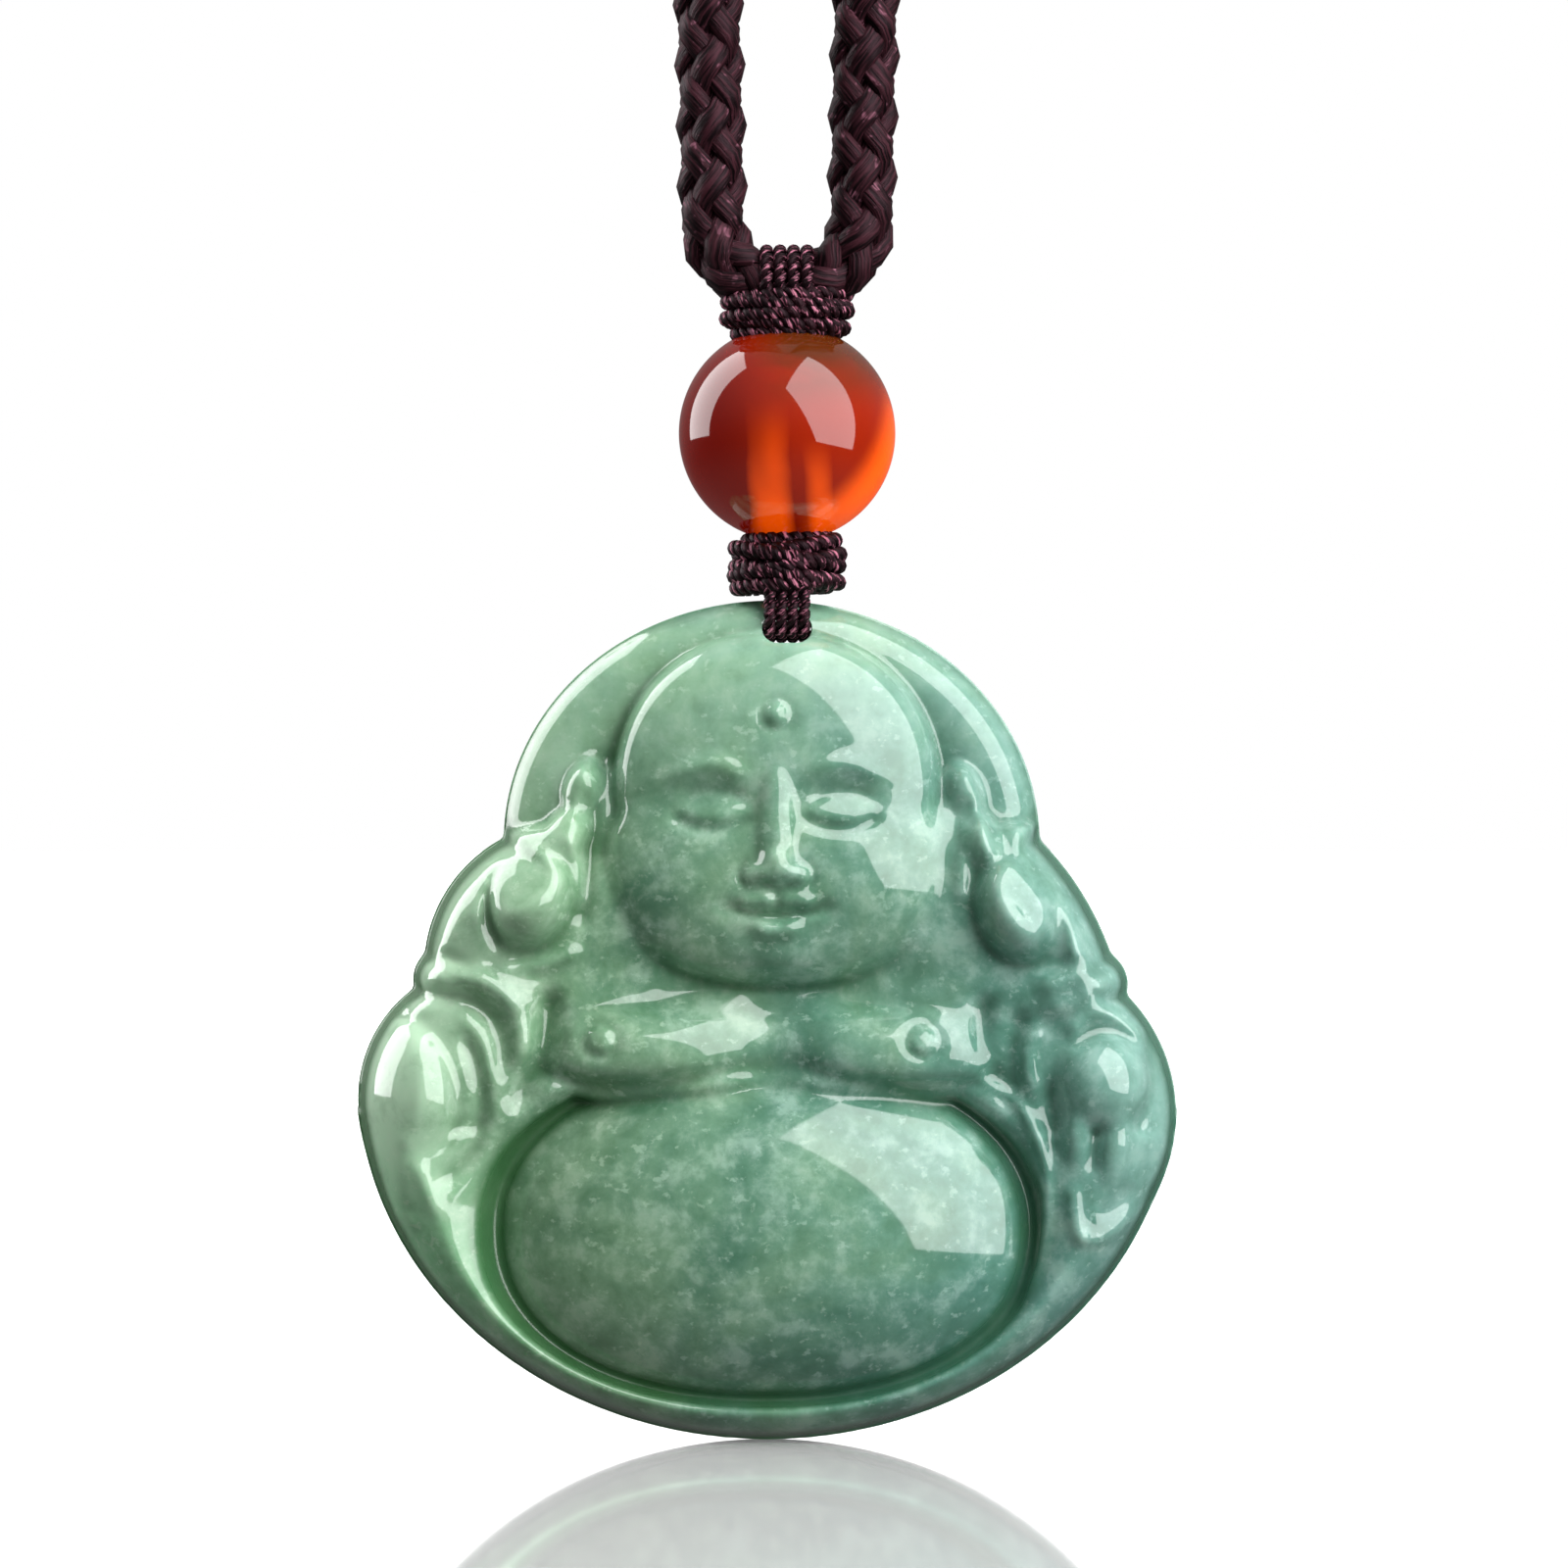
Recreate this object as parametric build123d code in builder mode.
from build123d import *
import os
from math import pi, radians, tan

# Necklace with a carved jade pendant, a round agate bead and a braided cord.
# Millimetres. +Z is up, the carved face looks towards -Y, +X is to the viewer's right.
# The origin is the point that the necklace hangs from: the inner side of its top bend,
# straight above the bead and the pendant's hole.

# Pendant, outer sizes
pendant_width = 37.7
pendant_height = 38.6
rim_thickness = 4.2
body_thickness = 5.4
belly_depth = 8.6
front_rounding = 1.1
back_rounding = 0.8
body_rounding = 1.5
most_rounding_share = 0.7

# Slot drilled through the rim for the hanging thread, and the channels above it
slot_width = 2.3
slot_height = 1.4
slot_below_top = 0.6
slot_from_axis = 0.9
channel_depth = 0.45

# Bead
bead_diameter = 10.0
bead_bore = 1.8

# Braided cord
cord_diameter = 3.0
loop_drop = 300.0
fold_half_span = 3.45
fold_clear_height = 9.0
side_by_side_height = 14.0
bend_share = 0.45

# Threads and knots
thread_bundle_width = 2.1
thread_bundle_thickness = 1.0
thread_bend_rounding = 0.9
thread_edge_rounding = 0.3
bead_thread_diameter = 1.4
upper_knot_width = 6.2
upper_knot_depth = 4.8
upper_knot_height = 2.15
upper_knot_overlap = 0.65
saddle_width = 2.3
saddle_thickness = 0.45
lower_knot_diameter = 5.7
lower_knot_height = 2.9
lower_knot_rise = 0.3
knot_rounding = 0.7

# Clearances
thread_clearance = 0.12
bead_clearance = 0.1
cord_clearance = 0.08
rim_clearance = 0.15

# Heights that follow from the sizes above
cord_radius = cord_diameter / 2
bead_radius = bead_diameter / 2
fold_bottom = -loop_drop
bead_height = fold_bottom - bead_clearance - bead_radius
upper_knot_bottom = bead_height + bead_radius - upper_knot_overlap
lower_knot_top = bead_height - bead_radius + lower_knot_rise
lower_knot_bottom = lower_knot_top - lower_knot_height
pendant_top = lower_knot_bottom - rim_clearance
pendant_bottom = pendant_top - pendant_height
pendant_axis = -slot_from_axis
slot_centre = pendant_top - slot_below_top - slot_height / 2
back_plane = rim_thickness / 2

# Corners of the cord's centre line, round the closed loop from the left of its top bend.
# The top bend goes over a round peg, and the legs come together above the fold.
# Columns: x and height.
cord_route = [
    (-10.6, -5.7),
    (-6.6, -0.15),
    (0.0, 2.0),
    (6.6, -0.15),
    (10.6, -5.7),
    (10.5, -14.0),
    (3.6, fold_bottom + side_by_side_height),
    (fold_half_span, fold_bottom + cord_radius),
    (-fold_half_span, fold_bottom + cord_radius),
    (-3.6, fold_bottom + side_by_side_height),
    (-10.5, -14.0),
]

# Outline of the jade as ellipses that are joined.
# Columns: name, place across and half width as shares of half the pendant's width,
# place up and half height as shares of the pendant's height.
outline_lobes = [
    ("left_shoulder", -0.480, 0.561, 0.360, 0.176),
    ("left_cuff", -0.780, 0.548, 0.086, 0.042),
    ("left_arm", -0.665, 0.406, 0.336, 0.164),
    ("right_shoulder", 0.286, 0.440, 0.603, 0.354),
    ("right_cuff", 0.795, 0.542, 0.086, 0.042),
    ("right_arm", 0.591, 0.389, 0.408, 0.199),
    ("middle", 0.000, 0.475, 0.576, 0.176),
]
halo_lobe = ("halo", 0.010, 0.713, 0.655, 0.287)
lap_lobe = ("lap", 0.0, 0.4286, 1.0, 0.4286)
arm_level = 0.396

# Carved forms that stand proud of the plate, each a part of an ellipsoid.
# Columns: name, across, up, half wide and half high as above, then the crown and the
# centre as shares of the belly's depth, counted from the back.
carved_forms = [
    ("chest", 0.000, 0.530, 0.560, 0.110, 0.780, 0.30),
    ("skull", 0.020, 0.770, 0.410, 0.190, 0.860, 0.36),
    ("jaw", 0.020, 0.690, 0.430, 0.145, 0.880, 0.40),
    ("nose", 0.020, 0.695, 0.050, 0.055, 0.955, 0.60),
    ("left_eyelid", -0.127, 0.747, 0.088, 0.022, 0.885, 0.60),
    ("right_eyelid", 0.167, 0.747, 0.088, 0.022, 0.885, 0.60),
    ("lips", 0.020, 0.624, 0.100, 0.020, 0.890, 0.60),
    ("forehead_dot", 0.020, 0.872, 0.028, 0.014, 0.860, 0.55),
    ("left_ear", -0.455, 0.745, 0.075, 0.070, 0.700, 0.40),
    ("left_ear_lobe", -0.570, 0.625, 0.115, 0.068, 0.800, 0.40),
    ("right_ear", 0.480, 0.735, 0.075, 0.070, 0.700, 0.40),
    ("right_ear_lobe", 0.610, 0.622, 0.125, 0.070, 0.800, 0.40),
    ("left_shoulder_roll", -0.680, 0.635, 0.170, 0.090, 0.720, 0.35),
    ("right_shoulder_roll", 0.740, 0.630, 0.180, 0.095, 0.720, 0.35),
    ("left_breast", -0.330, 0.500, 0.300, 0.080, 0.860, 0.45),
    ("right_breast", 0.330, 0.500, 0.300, 0.080, 0.860, 0.45),
    ("left_sleeve", -0.700, 0.455, 0.270, 0.125, 0.780, 0.35),
    ("right_sleeve", 0.720, 0.450, 0.270, 0.125, 0.780, 0.35),
    ("left_hand", -0.830, 0.410, 0.130, 0.095, 0.840, 0.45),
    ("right_hand", 0.810, 0.405, 0.140, 0.105, 0.840, 0.45),
]
belly_form = ("belly", -0.020, 0.250, 0.660, 0.200, 1.0, 0.36)

# Groove round the belly: how much larger it is than the belly, and the depth of its floor
# as a share of the belly's depth, counted from the back.
groove_widening = 1.09
groove_floor = 0.52


def across(share):
    """Place across the pendant for a share of half its width."""
    return pendant_axis + share * pendant_width / 2


def up(share):
    """Height on the pendant for a share of its height."""
    return pendant_bottom + share * pendant_height


def ellipsoid(half_wide, half_deep, half_high):
    """An ellipsoid with its three half sizes along X, Y and Z."""
    return scale(Sphere(1, mode=Mode.PRIVATE), by=(half_wide, half_deep, half_high), mode=Mode.PRIVATE)


def carved_form(row):
    """The front half of an ellipsoid for one form of the carving, from its row in the table."""
    name, right, high, half_wide, half_high, crown, centre = row
    body = ellipsoid(
        half_wide * pendant_width / 2,
        (crown - centre) * belly_depth,
        half_high * pendant_height,
    )
    front_half = split(body, bisect_by=Plane.XZ, keep=Keep.TOP, mode=Mode.PRIVATE)
    return Pos(across(right), back_plane - centre * belly_depth, up(high)) * front_half


def lobe_centre(row):
    """Where an ellipse of the outline sits, in the outline's plane."""
    return across(row[1]), up(row[2])


def lobe_sizes(row):
    """Half width and half height of an ellipse of the outline."""
    return row[3] * pendant_width / 2, row[4] * pendant_height


def most_rounding(row):
    """The largest edge rounding for an ellipse, a share of its tightest bend's radius."""
    narrow, wide = sorted(lobe_sizes(row))
    return most_rounding_share * narrow**2 / wide


# Jade pendant: one carved stone, whose outline is drawn on its flat back as seen from the front
back_of_stone = Plane(origin=(0, back_plane, 0), x_dir=(1, 0, 0), z_dir=(0, -1, 0))


def rounded_lobe(row, thickness, rounding, cut_above=None):
    """One ellipse of the outline as a plate with rounded front and back edges."""
    with BuildPart() as lobe:
        with BuildSketch(back_of_stone):
            with Locations(lobe_centre(row)):
                Ellipse(*lobe_sizes(row))
        extrude(amount=thickness)
        fillet(lobe.faces().sort_by(Axis.Y)[0].edges(), radius=rounding)
        fillet(
            lobe.faces().sort_by(Axis.Y)[-1].edges(),
            radius=min(back_rounding, most_rounding(row)),
        )
        if cut_above is not None:
            split(bisect_by=Plane(origin=(0, 0, cut_above), z_dir=(0, 0, 1)), keep=Keep.BOTTOM)
    return lobe.part


halo = rounded_lobe(halo_lobe, rim_thickness, front_rounding)
lap = rounded_lobe(lap_lobe, body_thickness, body_rounding, cut_above=up(arm_level))
body_lobes = [
    rounded_lobe(row, body_thickness, min(body_rounding, most_rounding(row)))
    for row in outline_lobes
]

with BuildPart() as jade_pendant:
    # Halo plate behind the head, and the seated body of shoulders, arms and lap
    add(halo)
    add(lap)
    for body_lobe in body_lobes:
        add(body_lobe)

    # Groove round the belly, then the belly and the other carved forms
    groove = ellipsoid(
        groove_widening * belly_form[3] * pendant_width / 2,
        body_thickness - groove_floor * belly_depth,
        groove_widening * belly_form[4] * pendant_height,
    )
    groove_centre = Pos(across(belly_form[1]), back_plane - body_thickness, up(belly_form[2]))
    add(groove_centre * groove, mode=Mode.SUBTRACT)
    for form in carved_forms:
        add(carved_form(form))
    add(carved_form(belly_form))

    # Slot for the thread, with a shallow channel above it on the front and the back
    with BuildSketch(Plane.XZ):
        with Locations((0, slot_centre)):
            SlotOverall(slot_width, slot_height)
    extrude(amount=belly_depth, both=True, mode=Mode.SUBTRACT)
    channel_height = slot_below_top + slot_height / 2
    for side in (-1, 1):
        with Locations((0, side * rim_thickness / 2, slot_centre)):
            Box(
                slot_width,
                2 * channel_depth,
                2 * channel_height,
                align=(Align.CENTER, Align.CENTER, Align.MIN),
                mode=Mode.SUBTRACT,
            )
jade_pendant.part.label = "jade_pendant"

# Agate bead: a ball drilled from top to bottom
with BuildPart() as agate_bead:
    with Locations((0, 0, bead_height)):
        Sphere(bead_radius)
        Cylinder(bead_bore / 2, bead_diameter, mode=Mode.SUBTRACT)
agate_bead.part.label = "agate_bead"

# Braided cord: a closed loop of even round section along its route


def corner_radii(route):
    """The bend radius at each corner of a closed route, from its shorter run and its turn."""
    radii = []
    count = len(route)
    for index in range(count):
        before = Vector(*route[index]) - Vector(*route[index - 1])
        after = Vector(*route[(index + 1) % count]) - Vector(*route[index])
        half_turn = radians(before.get_angle(after)) / 2
        shorter = min(before.length, after.length)
        radii.append(bend_share * shorter / tan(half_turn))
    return radii


cord_radii = corner_radii(cord_route)
with BuildPart() as braided_cord:
    with BuildLine(Plane.XZ) as cord_path:
        FilletPolyline(*cord_route, radius=cord_radii, close=True)
    cord_length = cord_path.wire().length
    start_plane = Plane(cord_path.wire() @ 0, z_dir=cord_path.wire() % 0)
    with BuildSketch(start_plane):
        Circle(cord_radius)
    sweep(path=cord_path.wire())
braided_cord.part.label = "braided_cord"

# Upper knot: turns of thread round the fold of the cord, on top of the bead, with a
# saddle of upright threads over the fold
with BuildPart() as upper_knot:
    with BuildSketch(Plane.XY.offset(upper_knot_bottom)):
        Ellipse(upper_knot_width / 2, upper_knot_depth / 2)
    extrude(amount=upper_knot_height)
    fillet(upper_knot.edges(), radius=knot_rounding)

    saddle_half_depth = cord_radius + cord_clearance + saddle_thickness
    saddle_top = fold_bottom + cord_diameter + cord_clearance + saddle_thickness
    saddle_height = saddle_top - upper_knot_bottom - upper_knot_height / 2
    with Locations((0, 0, saddle_top)):
        Box(
            saddle_width,
            2 * saddle_half_depth,
            saddle_height,
            align=(Align.CENTER, Align.CENTER, Align.MAX),
        )
    fillet(
        upper_knot.faces().sort_by(Axis.Z)[-1].edges().filter_by(Axis.X),
        radius=saddle_half_depth / 2,
    )

    # Room for the fold of the cord, the bead and its thread
    with BuildLine(Plane.XZ) as fold_path:
        FilletPolyline(
            (-fold_half_span, fold_bottom + fold_clear_height),
            (-fold_half_span, fold_bottom + cord_radius),
            (fold_half_span, fold_bottom + cord_radius),
            (fold_half_span, fold_bottom + fold_clear_height),
            radius=2 * bend_share * fold_half_span,
        )
    with BuildSketch(Plane(fold_path.wire() @ 0, z_dir=fold_path.wire() % 0)):
        Circle(cord_radius + cord_clearance)
    sweep(path=fold_path.wire(), mode=Mode.SUBTRACT)
    with Locations((0, 0, bead_height)):
        Sphere(bead_radius + bead_clearance, mode=Mode.SUBTRACT)
upper_knot.part.label = "upper_knot"

# Lower knot: turns of thread between the bead and the rim of the jade
with BuildPart() as lower_knot:
    with Locations((0, 0, lower_knot_top)):
        Cylinder(
            lower_knot_diameter / 2,
            lower_knot_height,
            align=(Align.CENTER, Align.CENTER, Align.MAX),
        )
    fillet(lower_knot.edges(), radius=knot_rounding)
    with Locations((0, 0, bead_height)):
        Sphere(bead_radius + bead_clearance, mode=Mode.SUBTRACT)
lower_knot.part.label = "lower_knot"

# Thread through the bead, from knot to knot
with BuildPart() as bead_thread:
    with Locations((0, 0, bead_height)):
        Cylinder(bead_thread_diameter / 2, bead_diameter)
bead_thread.part.label = "bead_thread"

# Hanging thread: a flat bundle that goes through the slot and up both faces of the rim
bundle_inside = rim_thickness / 2 - channel_depth + thread_clearance
bundle_outside = bundle_inside + thread_bundle_thickness
bundle_bottom = slot_centre - thread_bundle_thickness / 2
bundle_top = lower_knot_bottom - thread_clearance / 2
with BuildPart() as hanging_thread:
    with BuildSketch(Plane.YZ):
        with Locations((0, bundle_bottom)):
            Rectangle(
                2 * bundle_outside,
                bundle_top - bundle_bottom,
                align=(Align.CENTER, Align.MIN),
            )
        with Locations((0, bundle_bottom + thread_bundle_thickness)):
            Rectangle(
                2 * bundle_inside,
                bundle_top - bundle_bottom,
                align=(Align.CENTER, Align.MIN),
                mode=Mode.SUBTRACT,
            )
    extrude(amount=thread_bundle_width / 2, both=True)
    outer_bends = hanging_thread.edges().filter_by(Axis.X).group_by(Axis.Z)[0]
    fillet(outer_bends, radius=thread_bend_rounding)
    inner_bends = hanging_thread.edges().filter_by(Axis.X).group_by(Axis.Z)[-2]
    fillet(inner_bends, radius=thread_edge_rounding)
    side_faces = hanging_thread.faces().filter_by(Axis.X)
    fillet(side_faces.edges(), radius=thread_edge_rounding)
hanging_thread.part.label = "hanging_thread"

# Write each piece, and print what the cord measures
os.makedirs("parts", exist_ok=True)
for piece in (
    jade_pendant,
    agate_bead,
    bead_thread,
    upper_knot,
    lower_knot,
    hanging_thread,
    braided_cord,
):
    export_step(piece.part, f"parts/{piece.part.label}.step")

section_area = pi * cord_radius**2
volume_ratio = braided_cord.part.volume / (section_area * cord_length)
print("cord bend radii", [round(radius, 1) for radius in cord_radii])
print("cord length", round(cord_length, 1))
print("cord volume over section times length", round(volume_ratio, 4))
